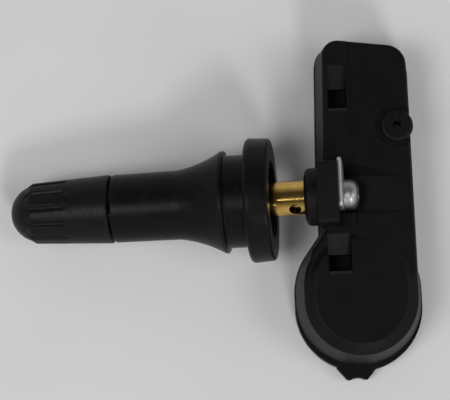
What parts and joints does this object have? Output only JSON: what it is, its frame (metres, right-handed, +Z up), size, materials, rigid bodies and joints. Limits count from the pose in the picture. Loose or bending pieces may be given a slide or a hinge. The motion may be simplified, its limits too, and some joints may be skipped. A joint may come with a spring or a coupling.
{
  "type": "tyre pressure sensor",
  "caption": "Snap-in tyre pressure sensor: rubber valve with screw cap and sprung core, and a brass stem clamped to a sealed plastic housing with a round battery end.",
  "frame": {"origin": "on the valve axis, where the wheel rim presses on the rubber flange", "axes": "+X from the valve towards the housing, +Y towards the housing's thin end, +Z up; the valve axis leans 7 degrees from X so that the part rests on the flange and the flat underside"},
  "size_m": [0.0634, 0.053, 0.0193],
  "materials": {
    "cap_plastic": "satin",
    "stem_rubber": "matte",
    "seal_rubber": "matte",
    "core_seal": "satin",
    "brass": "satin",
    "spring_steel": "satin",
    "screw_steel": "satin",
    "plate_steel": "satin",
    "housing_plastic": "satin",
    "potting": "satin",
    "board": "satin",
    "cell_steel": "satin",
    "tab_nickel": "satin",
    "chip_black": "matte",
    "filter_white": "matte",
    "can_steel": "satin",
    "ferrite": "matte",
    "copper": "satin",
    "capacitor": "matte",
    "resistor": "matte"
  },
  "bodies": {
    "sensor": {"rubber_stem": "stem_rubber", "port_gasket": "seal_rubber", "core_plug_seal": "core_seal", "brass_stem": "brass", "core_plug": "brass", "core_barrel": "brass", "core_spring": "spring_steel", "stem_screw": "screw_steel", "retaining_plate": "plate_steel", "top_cover": "housing_plastic", "base_shell": "housing_plastic", "potting_compound": "potting", "circuit_board": "board", "coin_cell": "cell_steel", "positive_tab": "tab_nickel", "negative_tab": "tab_nickel", "pressure_chip": "chip_black", "transmitter_chip": "chip_black", "port_filter": "filter_white", "crystal_can": "can_steel", "coil_core": "ferrite", "coil_winding": "copper", "antenna_wire": "copper", "chip_capacitors": "capacitor", "chip_resistors": "resistor"},
    "cap_slide": {"cap_seal": "seal_rubber"},
    "cap": {"valve_cap": "cap_plastic"},
    "pin": {"core_pin": "brass", "core_pin_seal": "seal_rubber"}
  },
  "joints": [
    {"name": "cap_lift", "type": "slide", "parent": "sensor", "child": "cap_slide", "axis": [-0.9925, 0, -0.1219], "range_m": [0, 0.00635]},
    {"name": "cap_turn", "type": "hinge", "parent": "cap_slide", "child": "cap", "pos_m": [0, 0, 0], "axis": [-0.9925, 0, -0.1219], "range_deg": [0, 2880]},
    {"name": "core_pin_press", "type": "slide", "parent": "sensor", "child": "pin", "axis": [0.9925, 0, 0.1219], "range_m": [0, 0.0012], "stiffness_N_per_m": 400, "springref_m": -0.001, "deforming": ["core_spring"]}
  ],
  "couplings": [
    {"joint": "cap_turn", "follows": "cap_lift", "rad_per_m": 7915.8}
  ]
}
